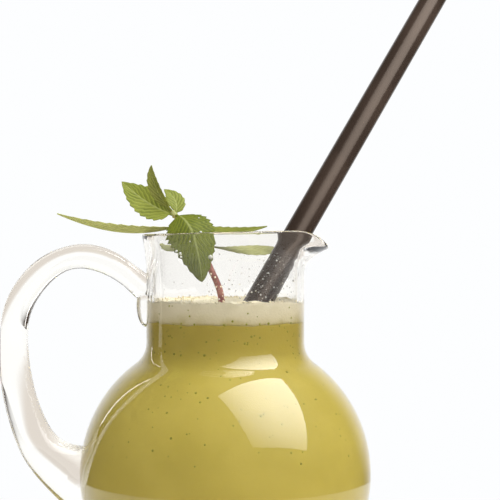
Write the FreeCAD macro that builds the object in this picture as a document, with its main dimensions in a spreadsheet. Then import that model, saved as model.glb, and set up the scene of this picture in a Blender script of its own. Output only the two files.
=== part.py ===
"""A ball jug of clear glass, filled with mint lemonade under a layer of foam, with a drinking
straw resting in its spout and a sprig of mint standing in it.

The frame: millimetres, +Z up, the origin at the centre of the jug's flat base on its axis. The
handle points to -X and the spout to +X. Every driving dimension is a cell of the spreadsheet,
and the sketches, primitives and placements read those cells through expressions. Shapes that no
feature fits, such as the pulled spout and the leaves, read the same cells in their functions.
"""
import os
from math import cos, exp, pi, radians, sin, sqrt

import FreeCAD, Part
import Sketcher
from FreeCAD import Placement, Rotation, Vector

SIZES = {
    # The jug's body.
    "neck_radius": (26.3, "outer radius of the neck"),
    "globe_arc": (45.0, "radius of the arc that turns the globe"),
    "globe_offset": (3.3, "distance of that arc's centre from the axis"),
    "globe_height": (39.0, "height of the globe's widest level"),
    "shoulder_radius": (8.5, "hollow round between globe and neck"),
    "foot_round": (2.0, "round at the edge of the base"),
    "wall": (2.3, "thickness of the glass"),
    "floor_thickness": (4.5, "thickness of the base"),
    "floor_round": (7.0, "round inside, where wall and floor meet"),
    # The mouth, from the level where it stops being a plain tube.
    "mouth_start": (104.0, "height at which the neck begins to open"),
    "rim_back": (117.7, "height of the rim over the handle"),
    "rim_front": (119.5, "height of the rim beside the spout"),
    "rim_flare": (1.5, "how far the rim opens beyond the neck"),
    "rim_round": (0.7, "fire-polished round of the rim"),
    "spout_start": (106.0, "height at which the spout leaves the neck"),
    "spout_tip_height": (113.9, "height of the spout's tip"),
    "spout_reach": (8.2, "how far the tip stands out from the neck"),
    "spout_curl": (2.2, "how sharply the spout turns outwards"),
    "spout_ease": (4.0, "how soon it stops opening above its tip"),
    "spout_focus": (26.0, "how narrow the spout is round the neck"),
    # The handle.
    "handle_joint": (101.5, "height of the upper joint"),
    "handle_top": (110.9, "height of the bow's highest point"),
    "handle_reach": (70.5, "distance of the bow's centre line from the axis"),
    "handle_foot": (36.5, "height of the lower joint"),
    "handle_thick": (8.2, "thickness at the upper joint"),
    "handle_swell": (11.8, "thickness at the bottom of the bow"),
    "handle_pad": (24.0, "height of the pad on the globe"),
    "handle_flat": (0.92, "width of the handle as a share of its thickness"),
    "handle_width": (11.8, "greatest width of the handle, at the pad"),
    "tail_length": (14.4, "length of the fold under the upper joint"),
    "tail_depth": (3.3, "how far that fold stands out from the neck"),
    "tail_width": (8.4, "width of that fold"),
    # What is in it.
    "drink_level": (89.8, "height of the lemonade's top"),
    "foam_level": (96.4, "height of the foam's top"),
    "wet_gap": (0.1, "clearance between the drink and what it wets"),
    # The straw.
    "straw_bore": (8.2, "inner diameter of the straw"),
    "straw_wall": (0.4, "wall of the straw"),
    "straw_length": (226.0, "length of the straw"),
    "straw_side_lean": (31.2, "lean towards the spout, in degrees"),
    "straw_back_lean": (28.0, "lean away from the front, in degrees"),
    "straw_side": (3.0, "how far behind the spout's middle it crosses the tip's height"),
    "seat_gap": (0.3, "clearance between the straw and the glass it rests on"),
    # The mint.
    "stem_bottom_radius": (1.15, "radius of the stem in the drink"),
    "stem_top_radius": (0.85, "radius of the stem under its tip"),
    "leaf_thickness": (0.5, "thickness of a leaf"),
    "petiole_width": (1.1, "width of a leaf's stalk"),
    "tooth_depth": (0.11, "depth of a tooth as a share of the leaf's half width"),
}

# How finely the mouth's level curves are drawn, and how far they go on above the rim.
RING_POINTS = 48
RING_CROWDING = 0.6
MOUTH_RINGS = 12
ABOVE_RIM = 1.0
# How finely the straw's seat is searched.
SEAT_LEVELS = 40
SEAT_ANGLES = range(-36, 37, 3)
HALVINGS = 40
FOOT_POINTS = 24
# The stem's sections, the share of a leaf that is its stalk, where along its length a tooth is
# widest, and how much thicker the leaf is where it springs from the stem.
STEM_RINGS = 14
STALK = 0.1
TOOTH_TOP = 0.72
BASE_SWELL = 0.9
LANES = (-1.0, -0.5, 0.0, 0.5, 1.0)

doc = FreeCAD.newDocument("MintLemonade")
sheet = doc.addObject("Spreadsheet::Sheet", "Sizes")
for row, (alias, (value, meaning)) in enumerate(SIZES.items(), start=1):
    sheet.set(f"A{row}", meaning)
    sheet.set(f"B{row}", str(value))
    sheet.setAlias(f"B{row}", alias)
doc.recompute()


def size(alias):
    """The value that the spreadsheet holds under this alias."""
    return float(sheet.get(alias))


def origin_plane(body, role):
    """One of the body's own origin planes."""
    return next(f for f in body.Origin.OriginFeatures if f.Role == role)


# ---------------------------------------------------------------- the body of the jug


def bulb_profile(body, name, terms):
    """A sketch of half a ball jug: floor, globe arc, shoulder round, neck, top and axis.

    terms maps each dimension to an expression on the sheet; evaluated once for the first shape
    of the geometry, and bound to the constraints afterwards.
    """
    sketch = body.newObject("Sketcher::SketchObject", name)
    sketch.AttachmentSupport = [(origin_plane(body, "XZ_Plane"), "")]
    sketch.MapMode = "FlatFace"
    value = {key: float(sketch.evalExpression(term)) for key, term in terms.items()}
    arc, turn = value["arc"], value["shoulder"]
    centre_r, centre_z = value["offset"], value["level"]
    round_r = value["neck"] + turn
    round_z = centre_z + sqrt((arc + turn) ** 2 - (round_r - centre_r) ** 2)
    share = arc / (arc + turn)
    join = Vector(centre_r + (round_r - centre_r) * share, centre_z + (round_z - centre_z) * share)
    floor = value["floor"]
    floor_r = centre_r + sqrt(arc**2 - (centre_z - floor) ** 2)
    bottom = Vector(0, floor)
    corner = Vector(floor_r, floor)
    neck_low = Vector(value["neck"], round_z)
    neck_top = Vector(value["neck"], value["top"])
    top = Vector(0, value["top"])
    globe = Part.Circle(Vector(centre_r, centre_z), Vector(0, 0, 1), arc)
    shoulder = Part.Circle(Vector(round_r, round_z), Vector(0, 0, 1), turn)
    globe_arc = Part.ArcOfCircle(globe, globe.parameter(corner), globe.parameter(join))
    start = shoulder.parameter(neck_low)
    shoulder_arc = Part.ArcOfCircle(shoulder, start, shoulder.parameter(join))
    edges = [
        Part.LineSegment(bottom, corner),
        globe_arc,
        shoulder_arc,
        Part.LineSegment(neck_low, neck_top),
        Part.LineSegment(neck_top, top),
        Part.LineSegment(top, bottom),
    ]
    for edge in edges:
        sketch.addGeometry(edge, False)
    rules = [
        ("Coincident", 0, 2, 1, 1),
        ("Tangent", 1, 2, 2, 2),
        ("Tangent", 2, 1, 3, 1),
        ("Coincident", 3, 2, 4, 1),
        ("Coincident", 4, 2, 5, 1),
        ("Coincident", 5, 2, 0, 1),
        ("PointOnObject", 0, 1, -2),
        ("PointOnObject", 4, 2, -2),
        ("Horizontal", 0),
        ("Vertical", 3),
        ("Horizontal", 4),
    ]
    for rule in rules:
        sketch.addConstraint(Sketcher.Constraint(*rule))
    measures = [
        ("arc", ("Radius", 1)),
        ("shoulder", ("Radius", 2)),
        ("offset", ("DistanceX", -1, 1, 1, 3)),
        ("level", ("DistanceY", -1, 1, 1, 3)),
        ("neck", ("DistanceX", -1, 1, 3, 2)),
        ("top", ("DistanceY", -1, 1, 3, 2)),
        ("floor", ("DistanceY", -1, 1, 0, 2)),
    ]
    for key, rule in measures:
        if value[key] == 0:
            sketch.addConstraint(Sketcher.Constraint("PointOnObject", 0, 2, -1))
            continue
        index = sketch.addConstraint(Sketcher.Constraint(*rule, value[key]))
        sketch.renameConstraint(index, key)
        sketch.setExpression(f"Constraints.{key}", terms[key])
    return sketch


def turned_bulb(name, terms, round_alias):
    """The solid of revolution of a bulb profile, its floor's edge rounded."""
    body = doc.addObject("PartDesign::Body", name)
    sketch = bulb_profile(body, name + "_profile", terms)
    turn = body.newObject("PartDesign::Revolution", name + "_turned")
    turn.Profile = sketch
    turn.ReferenceAxis = (sketch, ["V_Axis"])
    turn.Angle = 360
    doc.recompute()
    floor_z = turn.Shape.BoundBox.ZMin
    edges = enumerate(turn.Shape.Edges, start=1)
    rim = [i for i, e in edges if e.BoundBox.ZMax < floor_z + 0.01 and e.Length > 10]
    rounded = body.newObject("PartDesign::Fillet", name + "_rounded")
    rounded.Base = (turn, [f"Edge{i}" for i in rim])
    rounded.setExpression("Radius", f"Sizes.{round_alias}")
    turn.Visibility = False
    body.Tip = rounded
    return body


def bulb_terms(inset, floor, top):
    """The expressions of a bulb profile that lies inset inside the jug's outside."""
    return {
        "arc": f"Sizes.globe_arc - {inset}",
        "shoulder": f"Sizes.shoulder_radius + {inset}",
        "offset": "Sizes.globe_offset",
        "level": "Sizes.globe_height",
        "neck": f"Sizes.neck_radius - {inset}",
        "top": top,
        "floor": floor,
    }


# ---------------------------------------------------------------- the mouth with its spout


def mouth_radius(angle, height):
    """Outer radius of the mouth at an angle from the spout and a height."""
    rise = max(0.0, height - size("mouth_start")) / (size("rim_back") - size("mouth_start"))
    lift = max(0.0, height - size("spout_start"))
    growth = lift / (size("spout_tip_height") - size("spout_start"))
    curl, ease = size("spout_curl"), size("spout_ease")
    if growth < 1:
        opening = growth**curl
    else:
        opening = 1 + curl * (1 - exp(-ease * (growth - 1))) / ease
    focus = ((1 + cos(angle)) / 2) ** size("spout_focus")
    spout = size("spout_reach") * focus * opening
    return size("neck_radius") + size("rim_flare") * rise**2 + spout


def bore_radius(angle, height):
    """Inner radius: the outer one less the wall, measured square to the leaning surface."""
    step = 0.05
    slope = (mouth_radius(angle, height + step) - mouth_radius(angle, height)) / step
    return mouth_radius(angle, height) - size("wall") * sqrt(1 + slope**2)


def ring(radius_at, height):
    """A closed level curve of the mouth, its points closer together towards the spout."""
    points = []
    for i in range(RING_POINTS):
        turn = 2 * pi * i / RING_POINTS
        angle = turn - RING_CROWDING * sin(turn)
        radius = radius_at(angle, height)
        points.append(Vector(radius * cos(angle), radius * sin(angle), height))
    knots = [i / RING_POINTS for i in range(RING_POINTS + 1)]
    curve = Part.BSplineCurve()
    curve.interpolate(Points=points, PeriodicFlag=True, Parameters=knots)
    return Part.Wire(curve.toShape())


def mouth_solid(name, radius_at, top):
    """The mouth as a filled solid through its level curves, from the neck up to top."""
    low = size("mouth_start")
    heights = [low + (top - low) * i / (MOUTH_RINGS - 1) for i in range(MOUTH_RINGS)]
    feature = doc.addObject("Part::Feature", name)
    feature.Shape = Part.makeLoft([ring(radius_at, h) for h in heights], True, False)
    return feature


def tangent_arc(start, direction, end):
    """The arc in the XZ plane that leaves start in this direction and reaches end below it."""
    inward = Vector(direction.z, 0, -direction.x).normalize()
    chord = end - start
    radius = chord.dot(chord) / (2 * chord.dot(inward))
    centre = start + inward * radius
    halfway = ((start - centre) + (end - centre)).normalize()
    return Part.Arc(start, centre + halfway * radius, end)


def rim_cutter():
    """Everything above the rim: level over the handle, rising to the spout, bowed over its tip."""
    neck, level = size("neck_radius"), size("spout_tip_height")
    back = Vector(-2 * neck, 0, size("rim_back"))
    shoulder = Vector(neck - 4, 0, size("rim_front"))
    lip = Vector(neck + size("spout_reach") + 0.2, 0, level - 0.3)
    side = lip + Vector(3 * neck, 0, 0)
    sky = size("rim_front") + 2 * neck
    outline = [
        Part.LineSegment(back, shoulder),
        tangent_arc(shoulder, shoulder - back, lip),
        Part.LineSegment(lip, side),
        Part.LineSegment(side, Vector(side.x, 0, sky)),
        Part.LineSegment(Vector(side.x, 0, sky), Vector(back.x, 0, sky)),
        Part.LineSegment(Vector(back.x, 0, sky), back),
    ]
    face = Part.Face(Part.Wire([edge.toShape() for edge in outline]))
    half = 3 * neck
    face.translate(Vector(0, -half, 0))
    feature = doc.addObject("Part::Feature", "above_rim")
    feature.Shape = face.extrude(Vector(0, 2 * half, 0))
    return feature


# ---------------------------------------------------------------- the handle


def handle_stations():
    """(x, z, direction in degrees, thickness) along the handle, from neck to globe."""
    reach, top, foot = size("handle_reach"), size("handle_top"), size("handle_foot")
    joint, thick = size("handle_joint"), size("handle_thick")
    swell, pad = size("handle_swell"), size("handle_pad")
    neck = size("neck_radius")
    crown = 0.5 * (reach + neck)
    globe = size("globe_offset") + size("globe_arc")
    return [
        (-neck + 3.0, joint - 4.0, 128, thick),
        (-neck - 3.4, joint + 1.2, 133, thick),
        (-neck - 9.4, joint + 5.6, 149, thick),
        (-crown, top, 181, thick),
        (-crown - 8.6, top - 2.5, 211, thick),
        (-reach + 6.5, top - 8.6, 228, 1.10 * thick),
        (-reach + 1.3, top - 17.9, 250, 1.13 * thick),
        (-reach, top - 29.9, 270, 0.81 * swell),
        (-reach + 1.3, top - 43.4, 278, 0.91 * swell),
        (-reach + 5.1, top - 56.3, 291, swell),
        (-reach + 9.3, top - 64.1, 303, 1.15 * swell),
        (-globe - 6.1, foot + 4.5, 322, 0.73 * pad),
        (-globe - 2.4, foot + 2.2, 332, 0.85 * pad),
        (-globe + 4.0, foot - 0.4, 345, pad),
    ]


def handle_loft():
    """The drawn handle: ellipses across its centre line, lofted, with a broad pad at the globe."""
    sections = []
    for i, (x, z, heading, thickness) in enumerate(handle_stations()):
        section = doc.addObject("Part::Ellipse", f"handle_section_{i}")
        section.MajorRadius = thickness / 2
        section.MinorRadius = min(thickness * size("handle_flat"), size("handle_width")) / 2
        along = Vector(cos(radians(heading)), 0, sin(radians(heading)))
        across = Vector(-along.z, 0, along.x)
        section.Placement = Placement(Vector(x, 0, z), Rotation(across, Vector(), along, "ZXY"))
        sections.append(section)
    loft = doc.addObject("Part::Loft", "handle")
    loft.Sections = sections
    loft.Solid = True
    return loft


def handle_tail():
    """The end of the handle's glass, folded down against the neck."""
    tail = doc.addObject("Part::Ellipsoid", "handle_tail")
    tail.setExpression("Radius1", "Sizes.tail_length / 2")
    tail.setExpression("Radius2", "Sizes.tail_depth")
    tail.setExpression("Radius3", "Sizes.tail_width / 2")
    tail.setExpression("Placement.Base.x", "-Sizes.neck_radius")
    tail.setExpression("Placement.Base.z", "Sizes.handle_joint - Sizes.tail_length / 2 + 0.2")
    return tail


def rim_edges(shape):
    """The edges round the rim's top faces, which are the ones that look up at the mouth."""
    low = size("spout_tip_height") - 2
    tops = []
    for face in shape.Faces:
        u0, u1, v0, v1 = face.ParameterRange
        level = face.BoundBox.ZMin > low and face.BoundBox.DiagonalLength > 5
        if level and face.normalAt((u0 + u1) / 2, (v0 + v1) / 2).z > 0.3:
            tops.append(face)
    edges = [edge for face in tops for edge in face.Edges]
    codes = [edge.hashCode() for edge in edges]
    alone = {code for code in codes if codes.count(code) == 1}
    return [i for i, edge in enumerate(shape.Edges, start=1) if edge.hashCode() in alone]


def glass_jug():
    """The jug as one solid: outside, handle and tail together, less the inside and what is above."""
    outside = turned_bulb("outside", bulb_terms("0", "0", "Sizes.mouth_start"), "foot_round")
    hollow = bulb_terms("Sizes.wall", "Sizes.floor_thickness", "Sizes.mouth_start")
    inside = turned_bulb("inside", hollow, "floor_round")
    top = size("rim_front") + ABOVE_RIM
    mouth = mouth_solid("mouth_outside", mouth_radius, top)
    bore = mouth_solid("mouth_inside", bore_radius, top)
    glass = doc.addObject("Part::MultiFuse", "glass_filled")
    glass.Shapes = [outside, mouth, handle_loft(), handle_tail()]
    hollowed = doc.addObject("Part::MultiFuse", "hollow")
    hollowed.Shapes = [inside, bore]
    open_jug = doc.addObject("Part::Cut", "glass_open")
    open_jug.Base = glass
    open_jug.Tool = hollowed
    trimmed = doc.addObject("Part::Cut", "glass_trimmed")
    trimmed.Base = open_jug
    trimmed.Tool = rim_cutter()
    doc.recompute()
    jug = doc.addObject("Part::Fillet", "glass_jug")
    jug.Base = trimmed
    round_size = size("rim_round")
    jug.Edges = [(i, round_size, round_size) for i in rim_edges(trimmed.Shape)]
    return jug


# ---------------------------------------------------------------- the straw


def straw_radius():
    """Outer radius of the straw."""
    return size("straw_bore") / 2 + size("straw_wall")


def straw_direction():
    """The straw's direction: up, towards the spout and away from the front."""
    side, back = radians(size("straw_side_lean")), radians(size("straw_back_lean"))
    return Vector(sin(side) / cos(side), sin(back) / cos(back), 1).normalize()


def distance_to_line(point, start, along):
    """Distance of a point from a line."""
    return (point - start).cross(along).Length


def straw_crossing():
    """Where the straw's axis crosses the tip's height, so that it just rests in the spout."""
    along = straw_direction()
    low, high = size("mouth_start"), size("rim_front")
    bore = []
    for i in range(SEAT_LEVELS):
        height = low + (high - low) * i / (SEAT_LEVELS - 1)
        for angle in map(radians, SEAT_ANGLES):
            radius = bore_radius(angle, height)
            bore.append(Vector(radius * cos(angle), radius * sin(angle), height))
    level = size("spout_tip_height")
    wanted = straw_radius() + size("seat_gap")
    near, far = 0.0, size("neck_radius") + size("spout_reach")
    for _ in range(HALVINGS):
        middle = (near + far) / 2
        start = Vector(middle, size("straw_side"), level)
        if min(distance_to_line(point, start, along) for point in bore) > wanted:
            near = middle
        else:
            far = middle
    return Vector(near, size("straw_side"), level)


def straw_foot():
    """The centre of the straw's lower end, which just rests on the wall of the globe."""
    along = straw_direction()
    start = straw_crossing()
    across = along.cross(Vector(0, 0, 1)).normalize()
    up = along.cross(across)
    limit = size("globe_arc") - size("wall") - size("seat_gap")

    def clear(travel):
        """True if the end ring, this far below the crossing, lies inside the globe."""
        centre = start - along * travel
        for i in range(FOOT_POINTS):
            angle = 2 * pi * i / FOOT_POINTS
            point = centre + (across * cos(angle) + up * sin(angle)) * straw_radius()
            radius = sqrt(point.x**2 + point.y**2) - size("globe_offset")
            if sqrt(radius**2 + (point.z - size("globe_height")) ** 2) > limit:
                return False
        return True

    near = (start.z - size("globe_height")) / along.z * 0.8
    far = 2 * near
    for _ in range(HALVINGS):
        middle = (near + far) / 2
        near, far = (middle, far) if clear(middle) else (near, middle)
    return start - along * near


def straw_placement(below=0.0):
    """Places what is drawn up Z from the origin along the straw, starting below its foot."""
    along = straw_direction()
    return Placement(straw_foot() - along * below, Rotation(Vector(0, 0, 1), along))


def straw():
    """A plain drinking straw: a thin tube, open at both ends."""
    body = doc.addObject("PartDesign::Body", "straw")
    sketch = body.newObject("Sketcher::SketchObject", "straw_section")
    sketch.AttachmentSupport = [(origin_plane(body, "XY_Plane"), "")]
    sketch.MapMode = "FlatFace"
    radii = {"bore": "Sizes.straw_bore / 2", "outside": "Sizes.straw_bore / 2 + Sizes.straw_wall"}
    for i, (key, term) in enumerate(radii.items()):
        radius = float(sketch.evalExpression(term))
        sketch.addGeometry(Part.Circle(Vector(0, 0), Vector(0, 0, 1), radius), False)
        sketch.addConstraint(Sketcher.Constraint("Coincident", i, 3, -1, 1))
        index = sketch.addConstraint(Sketcher.Constraint("Radius", i, radius))
        sketch.renameConstraint(index, key)
        sketch.setExpression(f"Constraints.{key}", term)
    tube = body.newObject("PartDesign::Pad", "straw_tube")
    tube.Profile = sketch
    tube.setExpression("Length", "Sizes.straw_length")
    body.Placement = straw_placement()
    return body


# ---------------------------------------------------------------- the mint


def stem_points():
    """The stem's centre line, from its end in the drink to the tip above the rim."""
    bore = size("neck_radius") - size("wall")
    rim, foam, drink = size("rim_back"), size("foam_level"), size("drink_level")
    return [
        Vector(-0.26 * bore, -0.33 * bore, drink - 24),
        Vector(-0.17 * bore, -0.42 * bore, drink - 8),
        Vector(-0.05 * bore, -0.50 * bore, foam),
        Vector(-0.20 * bore, -0.44 * bore, rim - 10.4),
        Vector(-0.39 * bore, -0.38 * bore, rim - 1.9),
        Vector(-0.57 * bore, -0.33 * bore, rim + 4.0),
        Vector(-0.69 * bore, -0.30 * bore, rim + 6.8),
        Vector(-0.73 * bore, -0.29 * bore, rim + 8.2),
    ]


def stem_solid(name, extra):
    """The stem as circles along its curve, lofted, made thicker by extra all round."""
    path = Part.BSplineCurve()
    path.interpolate(stem_points())
    first, last = path.FirstParameter, path.LastParameter
    circles = []
    for i in range(STEM_RINGS + 1):
        share = i / STEM_RINGS
        where = first + (last - first) * share
        centre, along = path.value(where), path.tangent(where)[0]
        thin = size("stem_bottom_radius") * (1 - share) + size("stem_top_radius") * share
        circle = Part.Circle(centre, along, thin + extra)
        circles.append(Part.Wire(circle.toShape()))
    feature = doc.addObject("Part::Feature", name)
    feature.Shape = Part.makeLoft(circles, True, False)
    return feature


# Each leaf: the stem point it springs from, where its tip and the middle of its bow lie from
# there, the way its upper face looks, its width, how far its halves fold up (negative: hang
# down) as a share of that width, its teeth on each side, and the powers that shape its outline
# towards the stalk and towards the tip.
OVATE, OBOVATE, BROAD = (0.62, 0.86), (1.5, 0.62), (0.42, 0.72)
LONG, POINTED = (0.8, 0.9), (0.6, 0.95)
LEAVES = {
    "left": (5, (-41.2, -2.0, 3.3), (-19.5, -1.0, -2.7), (0.0, 0.2, 1.0), 12.5, 0.1, 10, LONG),
    "back_left": (6, (-17.7, 3.2, 11.2), (-8.9, 1.0, 4.0), (-0.2, -0.8, 0.5), 11.2, 0.1, 9, POINTED),
    "spike": (7, (-6.6, -2.0, 15.0), (-4.9, -1.8, 7.4), (-0.5, -0.8, 0.0), 4.8, 0.3, 7, OVATE),
    "bud": (6, (-3.8, 5.1, 8.6), (0.1, 2.3, 4.6), (0.3, -0.9, 0.3), 6.4, 0.1, 6, OVATE),
    "front": (6, (9.2, -8.4, -21.6), (5.9, -7.2, -5.8), (0.2, -0.9, 0.2), 16.4, -0.1, 12, BROAD),
    "right": (5, (27.5, 4.5, -0.8), (13.5, 2.0, -3.0), (0.0, -0.3, 1.0), 9.0, 0.1, 9, OVATE),
    "low_right": (4, (26.4, 20.0, -2.0), (13.0, 9.8, -2.6), (0.0, -0.4, 0.9), 9.6, 0.0, 9, OBOVATE),
    "low_left": (4, (-12.5, 8.0, -0.7), (-6.2, 3.5, -1.9), (0.0, -0.4, 0.9), 7.0, 0.0, 8, OVATE),
}


def leaf_outline(share, powers):
    """Half width along a leaf's blade as a share of the widest."""
    low, high = powers
    peak = low / (low + high)
    widest = peak**low * (1 - peak) ** high
    return share**low * (1 - share) ** high / widest


def leaf_rows(base, tip, middle, face, width, teeth, powers):
    """For each row across a leaf: centre, side and upward directions, half width, thickness."""
    bow = middle * 2 - tip * 0.5
    across = tip.cross(face).normalize()
    shares = [0.0, STALK / 2]
    for k in range(teeth):
        shares.append(STALK + (1 - STALK) * k / teeth)
        shares.append(STALK + (1 - STALK) * (k + TOOTH_TOP) / teeth)
    shares.append(1.0)
    rows = []
    for i, share in enumerate(shares):
        centre = base + bow * (2 * share * (1 - share)) + tip * share**2
        along = (bow * (2 - 4 * share) + tip * (2 * share)).normalize()
        side = (across - along * across.dot(along)).normalize()
        blade = max(0.0, (share - STALK) / (1 - STALK))
        half = 0.5 * width * leaf_outline(blade, powers) if 0 < blade < 1 else 0.0
        if i % 2 == 0:
            half *= 1 - size("tooth_depth")
        half = max(half, 0.5 * size("petiole_width") * (1 - 0.7 * blade))
        thick = size("leaf_thickness") * (1 + BASE_SWELL * (1 - share) ** 6)
        rows.append((centre, side, side.cross(along), half, thick))
    return rows


def leaf_solid(name, base, tip, middle, face, width, fold, teeth, powers):
    """One leaf: a thin toothed blade, folded along its midrib and bowed along its length."""
    count = len(LANES)
    points = []
    rows = leaf_rows(base, tip, middle, face, width, teeth, powers)
    for layer in (0.5, -0.5):
        for centre, side, up, half, thick in rows:
            for lane in LANES:
                rise = 2 * fold * half * abs(lane) ** 1.3
                points.append(centre + side * (lane * half) + up * (rise + layer * thick))
    facets = []
    under = len(rows) * count

    def quad(a, b, c, d):
        """Two facets across four points."""
        facets.append((a, b, c))
        facets.append((a, c, d))

    for i in range(len(rows) - 1):
        for j in range(count - 1):
            a = i * count + j
            quad(a, a + 1, a + count + 1, a + count)
            quad(under + a, under + a + count, under + a + count + 1, under + a + 1)
        for edge in (0, count - 1):
            a = i * count + edge
            ring_of_four = (a, a + count, under + a + count, under + a)
            quad(*(ring_of_four if edge == 0 else reversed(ring_of_four)))
    for row in (0, len(rows) - 1):
        for j in range(count - 1):
            a = row * count + j
            ring_of_four = (a, under + a, under + a + 1, a + 1)
            quad(*(ring_of_four if row == 0 else reversed(ring_of_four)))
    shell = Part.Shape()
    shell.makeShapeFromMesh(([tuple(p) for p in points], facets), 0.001)
    feature = doc.addObject("Part::Feature", name)
    feature.Shape = Part.Solid(Part.Shell(shell.Faces))
    return feature


def mint_sprig():
    """The sprig as one solid: the stem with all its leaves."""
    joints = stem_points()
    pieces = [stem_solid("mint_stem", 0.0)]
    for name, (joint, tip, middle, face, width, fold, teeth, powers) in LEAVES.items():
        shape = (Vector(*tip), Vector(*middle), Vector(*face), width, fold, teeth, powers)
        pieces.append(leaf_solid(f"leaf_{name}", joints[joint], *shape))
    sprig = doc.addObject("Part::MultiFuse", "mint_sprig")
    sprig.Shapes = pieces
    doc.recompute()
    if sprig.Shape.Volume < 0.95 * sum(piece.Shape.Volume for piece in pieces):
        raise RuntimeError("the sprig lost a piece when it was joined")
    return sprig


# ---------------------------------------------------------------- the drink


def room_for_straw_and_stem():
    """What the drink and the foam leave free: the straw's and the stem's outlines."""
    rod = doc.addObject("Part::Cylinder", "straw_room")
    rod.setExpression("Radius", "Sizes.straw_bore / 2 + Sizes.straw_wall + Sizes.wet_gap")
    rod.setExpression("Height", "Sizes.straw_length + 2 * Sizes.wet_gap")
    rod.Placement = straw_placement(size("wet_gap"))
    room = doc.addObject("Part::MultiFuse", "room")
    room.Shapes = [rod, stem_solid("stem_room", size("wet_gap"))]
    return room


def lemonade_and_foam():
    """The lemonade up to its level and the foam on it, both cut round the straw and the stem."""
    inset = "(Sizes.wall + Sizes.wet_gap)"
    terms = bulb_terms(inset, "Sizes.floor_thickness + Sizes.wet_gap", "Sizes.drink_level")
    fill = turned_bulb("lemonade_fill", terms, "floor_round")
    layer = doc.addObject("Part::Cylinder", "foam_fill")
    layer.setExpression("Radius", "Sizes.neck_radius - Sizes.wall - Sizes.wet_gap")
    layer.setExpression("Height", "Sizes.foam_level - Sizes.drink_level")
    layer.setExpression("Placement.Base.z", "Sizes.drink_level")
    room = room_for_straw_and_stem()
    made = []
    for name, base in (("lemonade", fill), ("foam", layer)):
        cut = doc.addObject("Part::Cut", name)
        cut.Base = base
        cut.Tool = room
        made.append(cut)
    return made


# ---------------------------------------------------------------- all of it


def main():
    """Builds every sub-part, checks it and writes its file."""
    parts = [glass_jug(), straw(), mint_sprig(), *lemonade_and_foam()]
    doc.recompute()
    broken = [o.Name for o in doc.Objects if {"Invalid", "Error"} & set(o.State)]
    if broken:
        raise RuntimeError(f"these objects failed: {broken}")
    for part in parts:
        shape = part.Shape
        if shape.isNull() or not shape.isValid() or len(shape.Solids) != 1:
            raise RuntimeError(f"{part.Label} is no valid single solid")
    os.makedirs("parts", exist_ok=True)
    for part in parts:
        box = part.Shape.BoundBox
        print(part.Label, round(part.Shape.Volume, 1), len(part.Shape.Faces), box)
        part.Shape.exportStep(f"parts/{part.Label}.step")


main()
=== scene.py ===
"""Looks of a ball jug of mint lemonade: clear glass, cloudy drink, foam, straw and a mint sprig.

Everything lies in the model's own frame: +Z up, handle to -X, spout to +X, front to -Y. Shapes
are worked out with numpy in millimetres and put into their meshes in metres. Only the glass is
the model's own surface, shaded smoothly.
"""

from math import radians

import bmesh
import bpy
import numpy as np
from mathutils import Matrix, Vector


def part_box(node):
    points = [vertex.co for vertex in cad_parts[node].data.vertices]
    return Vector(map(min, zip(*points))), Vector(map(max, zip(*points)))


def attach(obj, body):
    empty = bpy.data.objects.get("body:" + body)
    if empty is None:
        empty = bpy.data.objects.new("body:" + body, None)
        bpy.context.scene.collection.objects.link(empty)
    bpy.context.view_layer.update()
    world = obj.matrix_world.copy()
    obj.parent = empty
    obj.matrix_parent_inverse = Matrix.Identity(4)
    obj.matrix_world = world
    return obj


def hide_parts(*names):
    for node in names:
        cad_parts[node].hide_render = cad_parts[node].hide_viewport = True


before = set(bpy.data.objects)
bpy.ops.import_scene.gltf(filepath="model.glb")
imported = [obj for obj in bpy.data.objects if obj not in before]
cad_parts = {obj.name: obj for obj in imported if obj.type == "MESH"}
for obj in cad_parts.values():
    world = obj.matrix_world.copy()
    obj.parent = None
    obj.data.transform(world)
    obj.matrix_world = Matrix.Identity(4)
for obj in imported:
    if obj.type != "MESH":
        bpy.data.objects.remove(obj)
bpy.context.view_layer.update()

# Lengths are in millimetres, apart from those of lamps, camera, world and materials.
MM = 0.001
FOAM_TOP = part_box("foam")[1].z / MM
FOAM_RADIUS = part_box("foam")[1].x / MM
DRINK_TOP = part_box("lemonade")[1].z / MM
DRINK_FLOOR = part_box("lemonade")[0].z / MM

# The jug's inside, as in the model: the globe's arc and where its centre lies, the hollow
# shoulder, the round at the floor, the neck and the flare of its rim.
GLOBE_ARC, GLOBE_OFFSET, GLOBE_HEIGHT = 42.7, 3.3, 39.0
SHOULDER, FLOOR_ROUND = 10.8, 7.0
NECK_RADIUS = FOAM_RADIUS + 0.1
FLARE_START, FLARE_HEIGHT, FLARE_OUT = 104.0, 13.7, 1.5
RIM_BACK = 117.7

FLOOR_POINTS, CORNER_POINTS, GLOBE_POINTS, SHOULDER_POINTS = 12, 12, 60, 16
POLE = 0.01  # radius at which a turned surface closes


# ---------------------------------------------------------------- meshes


def quads_of(rows, columns, wrap_rows, wrap_columns):
    """The faces of a grid of points, counted row by row, as four point numbers each.

    Quad (i, j) takes the points (i, j), (i, j+1), (i+1, j+1), (i+1, j); a wrapped direction
    joins its last line of points to its first.
    """
    i = np.arange(rows if wrap_rows else rows - 1)[:, None]
    j = np.arange(columns if wrap_columns else columns - 1)[None, :]
    down, right = (i + 1) % rows * columns, (j + 1) % columns
    return np.stack([i * columns + j, i * columns + right, down + right, down + j], -1)


def surface(name, grid, material, wrap_rows=False, wrap_columns=False, uv=None):
    """A mesh object whose faces join neighbouring points of a (rows, columns, 3) grid."""
    quads = quads_of(*grid.shape[:2], wrap_rows, wrap_columns)
    return mesh_object(name, grid.reshape(-1, 3), quads.reshape(-1, 4), material, uv)


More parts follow.
